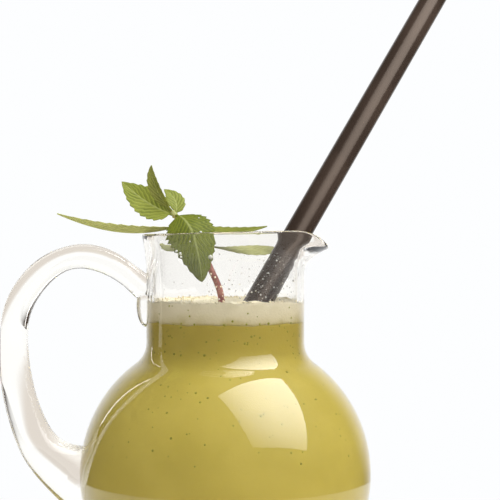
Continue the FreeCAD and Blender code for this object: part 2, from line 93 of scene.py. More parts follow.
def mesh_object(name, points, quads, material, uv=None):
    """A mesh object from points and four-cornered faces; uv gives two numbers per point."""
    mesh = bpy.data.meshes.new(name)
    mesh.vertices.add(len(points))
    mesh.vertices.foreach_set("co", (np.asarray(points) * MM).astype(np.float32).ravel())
    mesh.loops.add(quads.size)
    mesh.loops.foreach_set("vertex_index", quads.astype(np.int32).ravel())
    mesh.polygons.add(len(quads))
    mesh.polygons.foreach_set("loop_start", np.arange(0, quads.size, 4, dtype=np.int32))
    mesh.polygons.foreach_set("use_smooth", np.full(len(quads), True))
    if uv is not None:
        layer = mesh.uv_layers.new(name="lie")
        at_corners = uv.reshape(-1, 2)[quads.ravel()]
        layer.data.foreach_set("uv", at_corners.astype(np.float32).ravel())
    mesh.update()
    mesh.validate()
    mesh.materials.append(material)
    return placed(name, mesh)


def placed(name, data):
    """An object for this data, in the scene."""
    piece = bpy.data.objects.new(name, data)
    bpy.context.scene.collection.objects.link(piece)
    return piece


def joined_grids(grids):
    """Points and quads of many equal grids, each closed round its columns, as one mesh's arrays."""
    count, rows, columns = grids.shape[:3]
    quads = quads_of(rows, columns, False, True).reshape(1, -1, 4)
    start = (np.arange(count) * rows * columns)[:, None, None]
    return grids.reshape(-1, 3), (quads + start).reshape(-1, 4)


def unit(vectors):
    """The vectors at length one."""
    return vectors / np.maximum(np.linalg.norm(vectors, axis=-1, keepdims=True), 1e-12)


def full_turn(steps):
    """Angles evenly round a circle."""
    return np.linspace(0, 2 * np.pi, steps, endpoint=False)


def turned(profile, turns=128):
    """Radius and height pairs carried round the Z axis: (radius cos a, radius sin a, height)."""
    angle = full_turn(turns)
    radius, height = profile[:, :1], profile[:, 1:]
    return np.stack([radius * np.cos(angle), radius * np.sin(angle), height + 0 * angle], -1)


def carried(path, radius, sides, up):
    """Circles carried along a path: centre + radius (across cos a + over sin a).

    across is the path's direction crossed with a fixed up, over is square to both.
    """
    along = unit(np.gradient(path, axis=0))
    across = unit(np.cross(along, up))
    over = np.cross(across, along)
    angle = full_turn(sides)[None, :, None]
    ring = across[:, None] * np.cos(angle) + over[:, None] * np.sin(angle)
    return path[:, None] + radius[:, None, None] * ring


def smooth_path(points, count):
    """A Catmull-Rom curve: each stretch blends its four nearest points by cubic weights."""
    padded = np.vstack([2 * points[0] - points[1], points, 2 * points[-1] - points[-2]])
    where = np.linspace(0, len(points) - 1, count)
    i = np.minimum(where.astype(int), len(points) - 2)
    t = (where - i)[:, None]
    a, b, c, d = (padded[i + k] for k in range(4))
    square, cube = 2 * a - 5 * b + 4 * c - d, 3 * b - a - 3 * c + d
    return 0.5 * (2 * b + (c - a) * t + square * t**2 + cube * t**3)


# ---------------------------------------------------------------- shader nodes


def add(tree, kind, values=None, **settings):
    """A node with these settings; each input takes a plain value or another node's socket."""
    node = tree.nodes.new(kind)
    for key, value in settings.items():
        setattr(node, key, value)
    for key, value in (values or {}).items():
        if isinstance(value, bpy.types.NodeSocket):
            tree.links.new(value, node.inputs[key])
        else:
            node.inputs[key].default_value = value
    return node


def maths(tree, operation, a, b=0.0):
    """The result of a maths node."""
    return add(tree, "ShaderNodeMath", {0: a, 1: b}, operation=operation).outputs[0]


def times(tree, a, b):
    """The product of two values."""
    return maths(tree, "MULTIPLY", a, b)


def blend(tree, factor, a, b):
    """The colour that goes from a to b as factor goes from 0 to 1."""
    return add(tree, "ShaderNodeMix", {0: factor, 6: a, 7: b}, data_type="RGBA").outputs[2]


def ramp(tree, value, low, high):
    """A smooth step of value from 0 to 1 between low and high."""
    values = {"Value": value, "From Min": low, "From Max": high}
    node = add(tree, "ShaderNodeMapRange", values, interpolation_type="SMOOTHSTEP")
    return node.outputs["Result"]


def place(tree, kind="Object"):
    """Where a point of the surface lies, in metres, or on the piece's own map."""
    return add(tree, "ShaderNodeTexCoord").outputs[kind]


def axis_of(tree, vector, axis):
    """One number of a vector."""
    return add(tree, "ShaderNodeSeparateXYZ", {0: vector}).outputs[axis]


def colour(red, green, blue):
    """A display colour of 0 to 255 as the linear one that shaders take."""
    c = np.array([red, green, blue]) / 255
    linear = np.where(c <= 0.04045, c / 12.92, ((c + 0.055) / 1.055) ** 2.4)
    return (*map(float, linear), 1.0)


def finish_of(name, **values):
    """A material of one Principled shader with these plain inputs: (material, its tree, shader)."""
    made = bpy.data.materials.new(name)
    made.use_nodes = True
    tree = made.node_tree
    shader = tree.nodes["Principled BSDF"]
    for key, value in values.items():
        shader.inputs[key.replace("_", " ")].default_value = value
    return made, tree, shader


def mottle_group():
    """Clouds of two sizes: Mask from 0 to 1, and Height for fine bumps."""
    group = bpy.data.node_groups.new("mottle", "ShaderNodeTree")
    sockets = {"Vector": ("INPUT", "NodeSocketVector"), "Broad": ("INPUT", "NodeSocketFloat"),
               "Fine": ("INPUT", "NodeSocketFloat"), "Mask": ("OUTPUT", "NodeSocketFloat"),
               "Height": ("OUTPUT", "NodeSocketFloat")}
    for name, (in_out, kind) in sockets.items():
        group.interface.new_socket(name, in_out=in_out, socket_type=kind)
    given, out = group.nodes.new("NodeGroupInput"), group.nodes.new("NodeGroupOutput")
    noise = "ShaderNodeTexNoise"
    vector, broad, fine = given.outputs[0], given.outputs[1], given.outputs[2]
    broad = add(group, noise, {"Vector": vector, "Scale": broad, "Detail": 4.0}).outputs["Fac"]
    fine = add(group, noise, {"Vector": vector, "Scale": fine, "Detail": 3.0}).outputs["Fac"]
    group.links.new(ramp(group, broad, 0.35, 0.65), out.inputs["Mask"])
    group.links.new(fine, out.inputs["Height"])
    return group


MOTTLE = mottle_group()


def mottle(tree, broad, fine):
    """The mottle group in this tree, at these scales: (mask, height)."""
    values = {"Vector": place(tree), "Broad": broad, "Fine": fine}
    node = add(tree, "ShaderNodeGroup", values, node_tree=MOTTLE)
    return node.outputs["Mask"], node.outputs["Height"]


def bumped(tree, shader, height, distance, strength=1.0):
    """Gives the shader a bump of this height pattern."""
    values = {"Height": height, "Distance": distance, "Strength": strength}
    tree.links.new(add(tree, "ShaderNodeBump", values).outputs["Normal"], shader.inputs["Normal"])


# ---------------------------------------------------------------- finishes

# Heights in metres between which a colour changes.
# The drink's painted shade under the foam and its painted light towards the foot.
PAINTED_SHADE_UNDER_FOAM, PAINTED_LIGHT_TO_FOOT = (0.074, 0.088), (0.055, 0.025)
FOAM_GETS_CREAMY, FOAM_WOBBLE = (0.0885, 0.0945), 0.0016
STEM_GETS_GREEN = (0.108, 0.120)

# The painted shade in a leaf's sunk side veins.
VEIN_SHADE_GREEN = (0.02, 0.035, 0.0, 1)
VEIN_SWEEP = 0.4  # how far forward a side vein gets on its way to the edge, as a share


def clear_glass():
    """Clear glass with a thin gloss, and painted shade: a little beige where the eye looks along
    its surface, partly the glass's own tint over its longer path there and partly the darker
    surroundings that its edges bend in.
    """
    made, tree, shader = finish_of("clear_glass", Roughness=0.0, IOR=1.5, Transmission_Weight=1.0,
                                   Coat_Weight=0.3, Coat_Roughness=0.0)
    # Painted shade: beige at grazing view, standing in for the darker surroundings the glass bends
    # in at its edges, with a little of its own tint over a longer path.
    edge = add(tree, "ShaderNodeLayerWeight", {"Blend": 0.5}).outputs["Facing"]
    tint = blend(tree, ramp(tree, edge, 0.6, 1.0), (0.995, 0.99, 0.98, 1), colour(232, 222, 202))
    tree.links.new(tint, shader.inputs["Base Color"])
    return made


def water_finish():
    """Drops of water with a little haze."""
    return finish_of("water", Roughness=0.02, IOR=1.36, Transmission_Weight=0.6,
                     Base_Color=(1, 1, 0.96, 1))[0]


def fleck_finish():
    """Bits of mint in the drink."""
    made, tree, shader = finish_of("mint_fleck", Roughness=0.5)
    mask, _ = mottle(tree, 300.0, 2000.0)
    body = blend(tree, mask, colour(146, 146, 46), colour(174, 170, 64))
    tree.links.new(body, shader.inputs["Base Color"])
    return made


def drink_finish():
    """Cloudy lemonade: yellow-green with faint clouds, with painted shade that makes it browner
    under the foam and painted light that makes it paler below.
    """
    made, tree, shader = finish_of("cloudy_lemonade", Roughness=0.35, IOR=1.34)
    height = axis_of(tree, place(tree), "Z")
    mask, fine = mottle(tree, 60.0, 900.0)
    body = blend(tree, mask, colour(204, 187, 86), colour(212, 195, 94))
    # Painted shade: browner in the neck under the foam.
    under = times(tree, ramp(tree, height, *PAINTED_SHADE_UNDER_FOAM), 0.55)
    body = blend(tree, under, body, colour(166, 146, 58))
    # Painted light: paler towards the foot, standing in for fill light from below.
    foot = times(tree, ramp(tree, height, *PAINTED_LIGHT_TO_FOOT), 0.6)
    body = blend(tree, foot, body, colour(218, 199, 96))
    tree.links.new(body, shader.inputs["Base Color"])
    bumped(tree, shader, fine, 0.00005)
    return made


def foam_finish():
    """Fine wet foam: cream, thinner and greener at its uneven foot, with pores."""
    made, tree, shader = finish_of("white_foam", Roughness=0.55, IOR=1.33)
    height = axis_of(tree, place(tree), "Z")
    mask, fine = mottle(tree, 180.0, 1500.0)
    level = maths(tree, "ADD", height, times(tree, mask, FOAM_WOBBLE))
    creamy = ramp(tree, level, *FOAM_GETS_CREAMY)
    body = blend(tree, creamy, colour(198, 185, 124), colour(243, 234, 206))
    body = blend(tree, times(tree, mask, 0.25), body, colour(214, 203, 164))
    tree.links.new(body, shader.inputs["Base Color"])
    bumped(tree, shader, fine, 0.0002)
    return made


def straw_finish():
    """Glossy dark brown plastic with a faint mottle."""
    made, tree, shader = finish_of("dark_straw", Roughness=0.22, IOR=1.45,
                                   Specular_Tint=(1.0, 0.82, 0.68, 1))
    mask, fine = mottle(tree, 40.0, 400.0)
    body = blend(tree, mask, colour(45, 36, 31), colour(54, 44, 38))
    tree.links.new(body, shader.inputs["Base Color"])
    bumped(tree, shader, fine, 0.00002)
    return made


def leaf_finish(name, teeth, dark, light):
    """A mint leaf: a pale midrib, and side veins that run forward from it, one to each tooth,
    sunk, with painted shade darkening them and painted light on the middles of the quilted
    panels between.

    The piece's map gives the share along the blade and the share across it, -1 to 1.
    """
    made, tree, shader = finish_of("mint_" + name, Roughness=0.5, IOR=1.3, Subsurface_Weight=0.12,
                                   Subsurface_Radius=(0.0006, 0.0009, 0.0002))
    lie = place(tree, "UV")
    along, across = axis_of(tree, lie, "X"), maths(tree, "ABSOLUTE", axis_of(tree, lie, "Y"))
    mask, fine = mottle(tree, 260.0, 1600.0)
    forward = times(tree, maths(tree, "SUBTRACT", along, times(tree, across, VEIN_SWEEP)), teeth)
    panel = maths(tree, "FRACT", maths(tree, "ADD", forward, 10.0))
    from_middle = maths(tree, "ABSOLUTE", maths(tree, "SUBTRACT", panel, 0.5))
    side_vein = ramp(tree, from_middle, 0.34, 0.5)
    midrib = ramp(tree, across, 0.08, 0.02)
    body = blend(tree, times(tree, mask, 0.7), dark, light)
    # Painted light: each quilted panel lighter towards its raised middle.
    body = blend(tree, ramp(tree, from_middle, 0.4, 0.0), body, light)
    # Painted shade: the sunk side veins darkened towards a deep green.
    shade = blend(tree, 0.5, dark, VEIN_SHADE_GREEN)
    body = blend(tree, times(tree, side_vein, 0.25), body, shade)
    pale = blend(tree, 0.3, light, colour(205, 210, 150))
    body = blend(tree, times(tree, midrib, 0.6), body, pale)
    tree.links.new(body, shader.inputs["Base Color"])
    vein = maths(tree, "MAXIMUM", times(tree, side_vein, 0.6), midrib)
    relief = maths(tree, "ADD", times(tree, fine, 0.3), times(tree, vein, -1.0))
    bumped(tree, shader, relief, 0.0003, 0.45)
    return made


def stem_finish():
    """The mint's stem: brown-red, greener towards its tip."""
    made, tree, shader = finish_of("mint_stem", Roughness=0.4, IOR=1.4, Subsurface_Weight=0.1)
    height = axis_of(tree, place(tree), "Z")
    mask, fine = mottle(tree, 300.0, 1500.0)
    body = blend(tree, mask, colour(112, 54, 50), colour(150, 96, 84))
    body = blend(tree, ramp(tree, height, *STEM_GETS_GREEN), body, colour(150, 152, 96))
    tree.links.new(body, shader.inputs["Base Color"])
    bumped(tree, shader, fine, 0.0002)
    return made


# ---------------------------------------------------------------- drink and foam

# Drink and foam reach a little into the glass, so that no gap shows between them.
DRINK_SPARE, FOAM_SPARE = 0.15, 0.17

# The foam's top lies under its level, is wavy and climbs at the glass; its foot hangs into the
# drink.
FOAM_SINK, FOAM_CLIMB, CLIMB_REACH = 0.55, 0.55, 0.9
FOAM_WAVES, WAVE_HEIGHT = 26, 0.05
FOAM_FOOT = DRINK_TOP - 0.5
FOAM_TURNS, FOAM_SIDE = 180, 8


def inside_profile(spare):
    """Radius and height up the jug's inside, moved outwards by spare, from the floor to the foam.

    A flat floor, a round, the globe's arc, the hollow shoulder arc and the straight neck.
    """
    arc, turn, neck = GLOBE_ARC + spare, SHOULDER - spare, FOAM_RADIUS + spare
    floor_z = DRINK_FLOOR - spare
    round_r = neck + turn
    round_z = GLOBE_HEIGHT + np.sqrt((arc + turn) ** 2 - (round_r - GLOBE_OFFSET) ** 2)
    lean = np.arcsin((round_z - GLOBE_HEIGHT) / (arc + turn))
    inner = arc - FLOOR_ROUND
    low = -np.arcsin((GLOBE_HEIGHT - floor_z - FLOOR_ROUND) / inner)
    corner_r = GLOBE_OFFSET + inner * np.cos(low)
    corner_z = floor_z + FLOOR_ROUND
    flat = np.stack([np.linspace(POLE, corner_r, FLOOR_POINTS), np.full(FLOOR_POINTS, floor_z)], 1)
    a = np.linspace(-np.pi / 2, low, CORNER_POINTS)
    corner = np.stack([corner_r + FLOOR_ROUND * np.cos(a), corner_z + FLOOR_ROUND * np.sin(a)], 1)
    a = np.linspace(low, lean, GLOBE_POINTS)
    globe = np.stack([GLOBE_OFFSET + arc * np.cos(a), GLOBE_HEIGHT + arc * np.sin(a)], 1)
    a = np.linspace(lean, 0, SHOULDER_POINTS)
    shoulder = np.stack([round_r - turn * np.cos(a), round_z - turn * np.sin(a)], 1)
    return np.vstack([flat, corner[1:], globe[1:], shoulder[1:]])


def drink(finish):
    """The lemonade: the inside profile turned, up to its level and closed by a flat top."""
    profile = inside_profile(DRINK_SPARE)
    neck = profile[-1, 0]
    profile = profile[profile[:, 1] < DRINK_TOP - 0.5]
    heights = np.linspace(profile[-1, 1] + 1, DRINK_TOP, 6)
    wall = np.stack([np.full_like(heights, neck), heights], 1)
    radii = np.linspace(neck, POLE, 10)[1:]
    top = np.stack([radii, np.full_like(radii, DRINK_TOP)], 1)
    grid = turned(np.vstack([profile, wall, top]))
    return surface("lemonade_body", grid, finish, wrap_columns=True)


def foam(finish):
    """The foam: a disc whose top is uneven by summed waves and rises a little at the glass.

    Its foot hangs unevenly over the drink's edge: three sine waves of the angle.
    """
    neck = FOAM_RADIUS + FOAM_SPARE
    rng = np.random.default_rng(4)
    share = np.concatenate([np.linspace(0.002, 0.9, 60), np.linspace(0.9, 1, 16)[1:]])[:, None]
    angle = full_turn(FOAM_TURNS)
    x, y = neck * share * np.cos(angle), neck * share * np.sin(angle)
    rise = np.zeros_like(x)
    for _ in range(FOAM_WAVES):
        wave = rng.uniform(0.25, 1.3)
        heading, phase = rng.uniform(0, 2 * np.pi, 2)
        across_waves = x * np.cos(heading) + y * np.sin(heading)
        rise += WAVE_HEIGHT / wave**0.5 * np.sin(wave * across_waves + phase)
    rise += FOAM_CLIMB * np.exp(-(1 - share) * neck / CLIMB_REACH)
    top = np.stack([x, y, FOAM_TOP - FOAM_SINK + rise], -1)
    edge = top[-1][None]
    drop = np.linspace(0, 1, FOAM_SIDE + 1)[1:, None]
    foot = FOAM_FOOT + 0.14 * np.sin(7 * angle + 1) + 0.1 * np.sin(16 * angle)
    foot = foot + 0.08 * np.sin(29 * angle + 2)
    side = np.repeat(edge, FOAM_SIDE, axis=0)
    side[..., 2] = edge[..., 2] * (1 - drop) + foot * drop
    under = edge * np.array([0.5, 0.002])[:, None, None]
    under[..., 2] = FOAM_FOOT
    grid = np.concatenate([top, side, under])[::-1]
    return surface("foam_layer", grid, finish, wrap_columns=True)


# ---------------------------------------------------------------- the straw

STRAW_WALL = 0.4
STRAW_SIDES, STRAW_LENGTHS, LIP_POINTS = 64, 40, 9


def straw_line():
    """The straw's two ends and radius, measured on the model's own tube."""
    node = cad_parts["straw"]
    points = np.zeros(len(node.data.vertices) * 3, np.float32)
    node.data.vertices.foreach_get("co", points)
    points = points.reshape(-1, 3).astype(float) / MM
    centre = (points.min(0) + points.max(0)) / 2
    along = np.linalg.svd(points - points.mean(0), full_matrices=False)[2][0]
    along *= np.sign(along[2])
    reach = (points - centre) @ along
    radius = np.linalg.norm(np.cross(points - centre, along), axis=1).max()
    return centre + along * reach.min(), centre + along * reach.max(), radius


def straw(finish):
    """A thin tube: a wall section with rounded lips, turned round the straw's axis."""
    low, high, radius = straw_line()
    length = np.linalg.norm(high - low)
    half = STRAW_WALL / 2
    a = np.linspace(-np.pi / 2, np.pi / 2, LIP_POINTS)
    lip_r, lip_z = radius - half + half * np.sin(a), half * np.cos(a)
    run = np.linspace(STRAW_WALL, length - STRAW_WALL, STRAW_LENGTHS)
    section = np.vstack([
        np.stack([np.full(STRAW_LENGTHS, radius), run], 1),
        np.stack([lip_r[::-1], length - half + lip_z[::-1]], 1),
        np.stack([np.full(STRAW_LENGTHS, radius - STRAW_WALL), run[::-1]], 1),
        np.stack([lip_r, half - lip_z], 1),
    ])[:, :, None, None]
    along = (high - low) / length
    across = unit(np.cross(along, [0, 0, 1.0]))
    over = np.cross(along, across)
    angle = full_turn(STRAW_SIDES)[None, :, None]
    ring = across * np.cos(angle) + over * np.sin(angle)
    grid = low + section[:, 1] * along + section[:, 0] * ring
    return surface("straw_tube", grid[:, ::-1], finish, wrap_rows=True, wrap_columns=True)


# ---------------------------------------------------------------- the mint

# Where the stem stands in the neck, as shares of its radius, and how high.
STEM_PLAN = [[-0.26, -0.33], [-0.17, -0.42], [-0.05, -0.50], [-0.20, -0.44],
             [-0.39, -0.38], [-0.57, -0.33], [-0.69, -0.30], [-0.73, -0.29]]
STEM_HEIGHTS = [DRINK_TOP - 24, DRINK_TOP - 8, FOAM_TOP, RIM_BACK - 10.4,
                RIM_BACK - 1.9, RIM_BACK + 4.0, RIM_BACK + 6.8, RIM_BACK + 8.2]
STEM = np.column_stack([NECK_RADIUS * np.array(STEM_PLAN), STEM_HEIGHTS])
STEM_STEPS, STEM_SIDES = 160, 24
STEM_FOOT, STEM_TIP = 1.15, 0.85
KNOTS, KNOT_HEIGHT, KNOT_REACH = (4, 5, 6), 0.22, 0.12

# Each leaf: the stem point it springs from, its tip and the middle of its bow from there, the way
# its upper face looks, its width, the rise of its halves as a share of that, its teeth and the
# powers of its outline.
OVATE, OBOVATE, BROAD = (0.62, 0.86), (1.5, 0.62), (0.42, 0.72)
LONG, SHARP = (0.8, 0.9), (0.6, 0.95)
LEAVES = {
    "left": (5, (-41.2, -2.0, 3.3), (-19.5, -1.0, -2.7), (0.0, 0.2, 1.0), 12.5, 0.1, 10, LONG),
    "back_left": (6, (-17.7, 3.2, 11.2), (-8.9, 1.0, 4.0), (-0.2, -0.8, 0.5), 11.2, 0.1, 9, SHARP),
    "spike": (7, (-6.6, -2.0, 15.0), (-4.9, -1.8, 7.4), (-0.5, -0.8, 0.0), 4.8, 0.3, 7, OVATE),
    "bud": (6, (-3.8, 5.1, 8.6), (0.1, 2.3, 4.6), (0.3, -0.9, 0.3), 6.4, 0.1, 6, OVATE),
    "front": (6, (9.2, -8.4, -21.6), (5.9, -7.2, -5.8), (0.2, -0.9, 0.2), 16.4, -0.1, 12, BROAD),
    "right": (5, (27.5, 4.5, -0.8), (13.5, 2.0, -3.0), (0.0, -0.3, 1.0), 9.0, 0.1, 9, OVATE),
    "low_right": (4, (26.4, 20.0, -2.0), (13.0, 9.8, -2.6), (0.0, -0.4, 0.9), 9.6, 0.0, 9, OBOVATE),
    "low_left": (4, (-12.5, 8.0, -0.7), (-6.2, 3.5, -1.9), (0.0, -0.4, 0.9), 7.0, 0.0, 8, OVATE),
}
TEETH = 6  # their place in a leaf's row

# The darkest and the lightest green of each leaf.
LEAF_COLOURS = {
    "left": ((150, 154, 84), (178, 180, 110)),
    "back_left": ((102, 112, 36), (132, 139, 54)),
    "spike": ((98, 104, 42), (128, 131, 60)),
    "bud": ((106, 115, 42), (130, 137, 60)),
    "front": ((78, 88, 14), (102, 111, 27)),
    "right": ((94, 101, 28), (118, 123, 44)),
    "low_right": ((118, 122, 58), (160, 160, 108)),
    "low_left": ((150, 156, 90), (190, 190, 140)),
}
STALK_SHARE, STALK_HALF = 0.1, 0.55
TOOTH_DEPTH, TOOTH_RISE, TOOTH_FALL = 0.12, 0.72, 0.28
QUILT_HEIGHT, MIDRIB_SHARE = 0.16, 0.12
LEAF_HALF_THICKNESS, EDGE_LOSS, STALK_GAIN = 0.21, 0.75, 0.9
LEAF_STEPS_A_TOOTH, LEAF_LANES = 24, 49


def leaf_skin(name, share, lane):
    """Points on a leaf's middle layer and its upward direction there, for shares and lanes.

    Centre = base + 2 s (1 - s) bow + s² tip for the share s along it. Half width = the power
    outline of the blade, cut by forward teeth. Height over the midline = the fold of the halves,
    plus quilting that sinks at each side vein.
    """
    joint, tip, middle, face, width, fold, teeth, (low, high) = LEAVES[name]
    base, tip, middle, face = STEM[joint], np.array(tip), np.array(middle), np.array(face)
    bow = 2 * middle - 0.5 * tip
    s = share[:, None]
    centre = base + bow * (2 * s * (1 - s)) + tip * s**2
    along = unit(bow * (2 - 4 * s) + tip * (2 * s))
    across = unit(np.cross(tip, face))
    side = unit(across - along * (along @ across)[:, None])
    up = np.cross(side, along)

    blade = np.clip((share - STALK_SHARE) / (1 - STALK_SHARE), 0, 1)
    peak = low / (low + high)
    outline = blade**low * (1 - blade) ** high / (peak**low * (1 - peak) ** high)
    saw = (blade * teeth) % 1
    tooth = 1 - TOOTH_DEPTH * (1 - np.minimum(saw / TOOTH_RISE, (1 - saw) / TOOTH_FALL))
    rib = STALK_HALF * (1 - 0.7 * blade) * (1 - blade**8)
    half = np.maximum(0.5 * width * outline * tooth, rib)[:, None]

    out = np.abs(lane)
    forward = (blade[:, None] - VEIN_SWEEP * out) * teeth
    puff = np.abs(np.sin(np.pi * forward)) ** 0.8 * np.clip(out / MIDRIB_SHARE, 0, 1)
    rise = 2 * fold * half * out**1.3
    rise = rise + QUILT_HEIGHT * puff * (half / (0.5 * width)) * (1 - out**6)
    points = centre[:, None] + side[:, None] * (lane * half)[..., None]
    return points + up[:, None] * rise[..., None], up, blade


def leaf(name, finish):
    """A leaf's two skins: its middle layer plus and minus half a thickness, less at the edge."""
    share = np.linspace(0, 1, LEAF_STEPS_A_TOOTH * LEAVES[name][TEETH])
    lane = np.broadcast_to(np.linspace(-1, 1, LEAF_LANES), (len(share), LEAF_LANES))
    points, up, blade = leaf_skin(name, share, lane)
    thin = LEAF_HALF_THICKNESS * (1 - EDGE_LOSS * np.abs(lane) ** 3)
    lift = up[:, None] * (thin * (1 + STALK_GAIN * (1 - share[:, None]) ** 6))[..., None]
    grid = np.concatenate([points + lift, (points - lift)[:, ::-1]], axis=1)
    across_map = np.concatenate([lane, lane[:, ::-1]], axis=1)
    uv = np.stack([np.broadcast_to(blade[:, None], across_map.shape), across_map], -1)
    return surface("mint_leaf_" + name, grid[:, ::-1], finish, wrap_columns=True, uv=uv[:, ::-1])


def stem(finish):
    """The stem: circles along its curve, thinner upwards and swollen where leaves spring."""
    path = smooth_path(STEM, STEM_STEPS)
    share = np.linspace(0, 1, STEM_STEPS)
    radius = STEM_FOOT * (1 - share) + STEM_TIP * share
    where = share * (len(STEM) - 1)
    for joint in KNOTS:
        radius = radius + KNOT_HEIGHT * np.exp(-(((where - joint) / KNOT_REACH) ** 2))
    radius[[0, -1]] = 0.02
    grid = carried(path, radius, STEM_SIDES, [0.0, 1.0, 0.0])
    return surface("mint_stem", grid, finish, wrap_columns=True)


# ---------------------------------------------------------------- flecks, bubbles and drops

FLECKS, WALL_BUBBLES, STRAW_BUBBLES, LOOSE_BUBBLES = 420, 420, 80, 120
WALL_DROPS, STEM_BUBBLES = 190, 26
FLECKS_REACH_DOWN, DROPS_TOP = 42, 112.5

# Drops on the front leaf: the share along it, the share across it and the radius.
LEAF_DROPS = np.array([[0.8, -0.8, 0.75], [0.52, -0.35, 0.42], [0.67, 0.9, 0.42], [0.71, 0.9, 0.5],
                       [0.75, 0.88, 0.4], [0.6, 0.2, 0.22], [0.46, 0.5, 0.25], [0.3, -0.62, 0.25]])


def beads(name, centres, across, outwards, radius, flat, finish, rings=7, sides=12):
    """Many squashed balls as one mesh: centre + radius (across cos a + over sin a) sin b, with
    flat radius cos b along outwards."""
    across = unit(across - outwards * (across * outwards).sum(1, keepdims=True))
    over = np.cross(outwards, across)
    b = np.linspace(0.02, np.pi - 0.02, rings)[None, :, None, None]
    a = full_turn(sides)[None, None, :, None]
    spread = across[:, None, None] * np.cos(a) + over[:, None, None] * np.sin(a)
    size = radius[:, None, None, None]
    height = outwards[:, None, None] * (np.cos(b) * flat)
    grids = centres[:, None, None] + size * (spread * np.sin(b) + height)
    return mesh_object(name, *joined_grids(grids), finish)


def wall_point(angle, height, spare):
    """A point of the jug's inner wall, moved outwards by spare, and the outward direction there."""
    profile = inside_profile(0.0)[FLOOR_POINTS:]
    radii, heights = np.vstack([profile, [NECK_RADIUS, FLARE_START]]).T
    flare = FLARE_OUT * (np.clip(height - FLARE_START, 0, None) / FLARE_HEIGHT) ** 2
    radius = np.interp(height, heights, radii) + flare
    slope = np.interp(height + 0.5, heights, radii) - np.interp(height - 0.5, heights, radii)
    outwards = unit(np.stack([np.cos(angle), np.sin(angle), -slope], 1))
    at = np.stack([radius * np.cos(angle), radius * np.sin(angle), height], 1)
    return at + outwards * spare, outwards


def flecks(finish):
    """Bits of mint afloat against the glass: a few in the foam, most in the drink below it."""
    rng = np.random.default_rng(11)
    height = np.where(rng.random(FLECKS) < 0.05,
                      rng.uniform(DRINK_TOP - 2, FOAM_TOP - 1, FLECKS),
                      DRINK_TOP - FLECKS_REACH_DOWN * rng.random(FLECKS) ** 1.6)
    centres, outwards = wall_point(rng.uniform(0, 2 * np.pi, FLECKS), height, 0.2)
    radius = 0.2 + 0.28 * rng.random(FLECKS) ** 2
    across = rng.normal(size=(FLECKS, 3))
    return beads("mint_flecks", centres, across, outwards, radius, 0.3, finish, 5, 7)


def foam_bubbles(finish):
    """Bubbles on the foam, crowded against the glass and the straw, and a few loose ones."""
    rng = np.random.default_rng(5)
    low, high, straw_radius = straw_line()
    along = (high - low) / np.linalg.norm(high - low)
    foot = low + along * ((FOAM_TOP - 0.4 - low[2]) / along[2])
    count, near_straw = WALL_BUBBLES + STRAW_BUBBLES + LOOSE_BUBBLES, WALL_BUBBLES + STRAW_BUBBLES
    angle = rng.uniform(0, 2 * np.pi, count)
    way = np.stack([np.cos(angle), np.sin(angle)], 1)
    at_wall = FOAM_RADIUS - 1.3 * rng.random((WALL_BUBBLES, 1)) ** 2
    at_straw = straw_radius * 1.25 + 1.2 * rng.random((STRAW_BUBBLES, 1)) ** 2
    loose = FOAM_RADIUS * 0.95 * rng.random((LOOSE_BUBBLES, 1)) ** 0.5
    plan = way * np.vstack([at_wall, at_straw, loose])
    plan[WALL_BUBBLES:near_straw] += foot[:2]
    radius = 0.12 + 0.35 * rng.random(count) ** 3
    centres = np.column_stack([plan, FOAM_TOP - 0.35 + 0.25 * rng.random(count)])
    centres[:WALL_BUBBLES, 2] += 0.5 * rng.random(WALL_BUBBLES) ** 2
    up = np.broadcast_to([0.0, 0.0, 1.0], centres.shape)
    across = rng.normal(size=centres.shape)
    return beads("foam_bubbles", centres, across, up, radius, 0.9, finish, 6, 9)


def wall_drops(finish):
    """Drops on the inside of the neck, thickest in front, towards the spout."""
    rng = np.random.default_rng(8)
    angle = np.where(rng.random(WALL_DROPS) < 0.65, rng.normal(-0.95, 0.45, WALL_DROPS),
                     rng.uniform(-np.pi, np.pi, WALL_DROPS))
    height = rng.uniform(FOAM_TOP + 0.6, DROPS_TOP, WALL_DROPS)
    keep = (np.abs(np.sin(angle / 2)) > 0.3) | (height < FLARE_START)
    centres, outwards = wall_point(angle[keep], height[keep], -0.02)
    radius = 0.13 + 0.24 * rng.random(keep.sum()) ** 3
    across = rng.normal(size=centres.shape)
    return beads("wall_drops", centres, across, outwards, radius, 0.55, finish)


def leaf_drops(finish):
    """Drops on the leaf that hangs in front, one of them run down to its edge."""
    centres, ups = [], []
    for share, lane, _ in LEAF_DROPS:
        points, up, _ = leaf_skin("front", np.array([share]), np.array([[lane]]))
        way = up[0] * (1 if up[0][1] < 0 else -1)
        centres.append(points[0, 0] + 0.2 * way)
        ups.append(way)
    centres, ups, radius = np.array(centres), np.array(ups), LEAF_DROPS[:, 2]
    across = np.ones(ups.shape)
    return beads("leaf_drops", centres, across, ups, radius, 0.6, finish, 12, 20)


def stem_bubbles(finish):
    """Small bubbles that cling to the stem over the foam."""
    rng = np.random.default_rng(3)
    path = smooth_path(STEM, STEM_STEPS)
    path = path[(path[:, 2] > FOAM_TOP) & (path[:, 2] < FOAM_TOP + 11)]
    pick = path[rng.integers(0, len(path), STEM_BUBBLES)]
    way = unit(rng.normal(size=(STEM_BUBBLES, 3)) * [1, 1, 0.2])
    radius = 0.16 + 0.22 * rng.random(STEM_BUBBLES)
    across = rng.normal(size=(STEM_BUBBLES, 3))
    return beads("stem_bubbles", pick + 1.08 * way, across, way, radius, 0.9, finish, 7, 10)


# ---------------------------------------------------------------- the glass

CREASE = radians(13)


